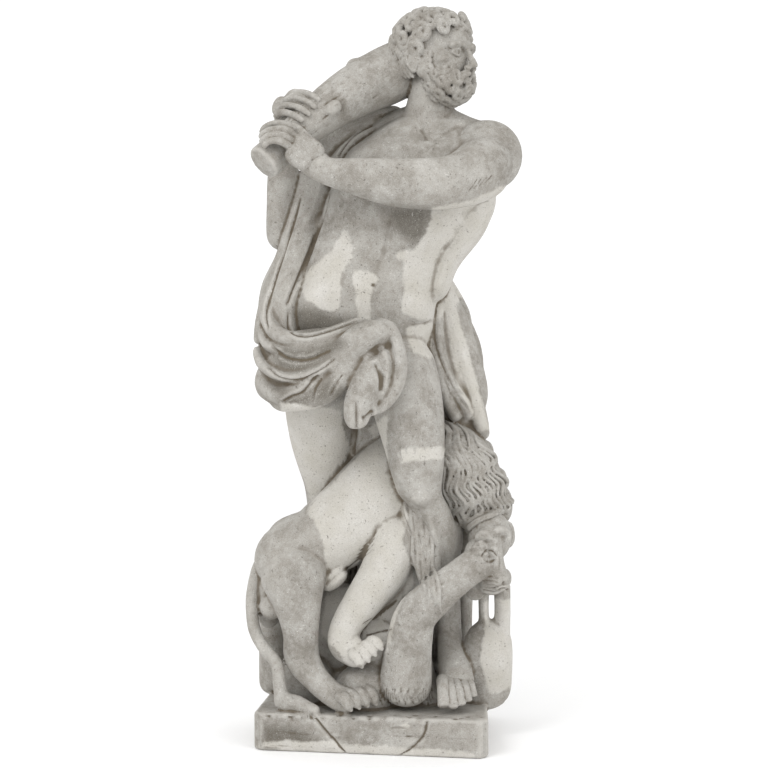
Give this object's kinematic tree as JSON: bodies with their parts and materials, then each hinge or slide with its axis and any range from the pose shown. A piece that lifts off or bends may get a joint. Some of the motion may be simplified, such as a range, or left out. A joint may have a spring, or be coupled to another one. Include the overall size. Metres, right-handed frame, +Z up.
{
  "type": "hercules statue",
  "caption": "Carved stone garden group: a bearded hero with a knotted cloak, astride a lion, swings back a club; one block with its rough slab and stump",
  "frame": {"origin": "on the flat underside of the slab, below the middle of the group", "axes": "+Z up; the group's main view is seen from -Y, looking along +Y, with +X to the viewer's right"},
  "size_m": [0.7541, 0.5632, 1.9999],
  "materials": {
    "stone": "weathered pale stone"
  },
  "bodies": {
    "root": {"statue_group": "stone"}
  },
  "joints": []
}
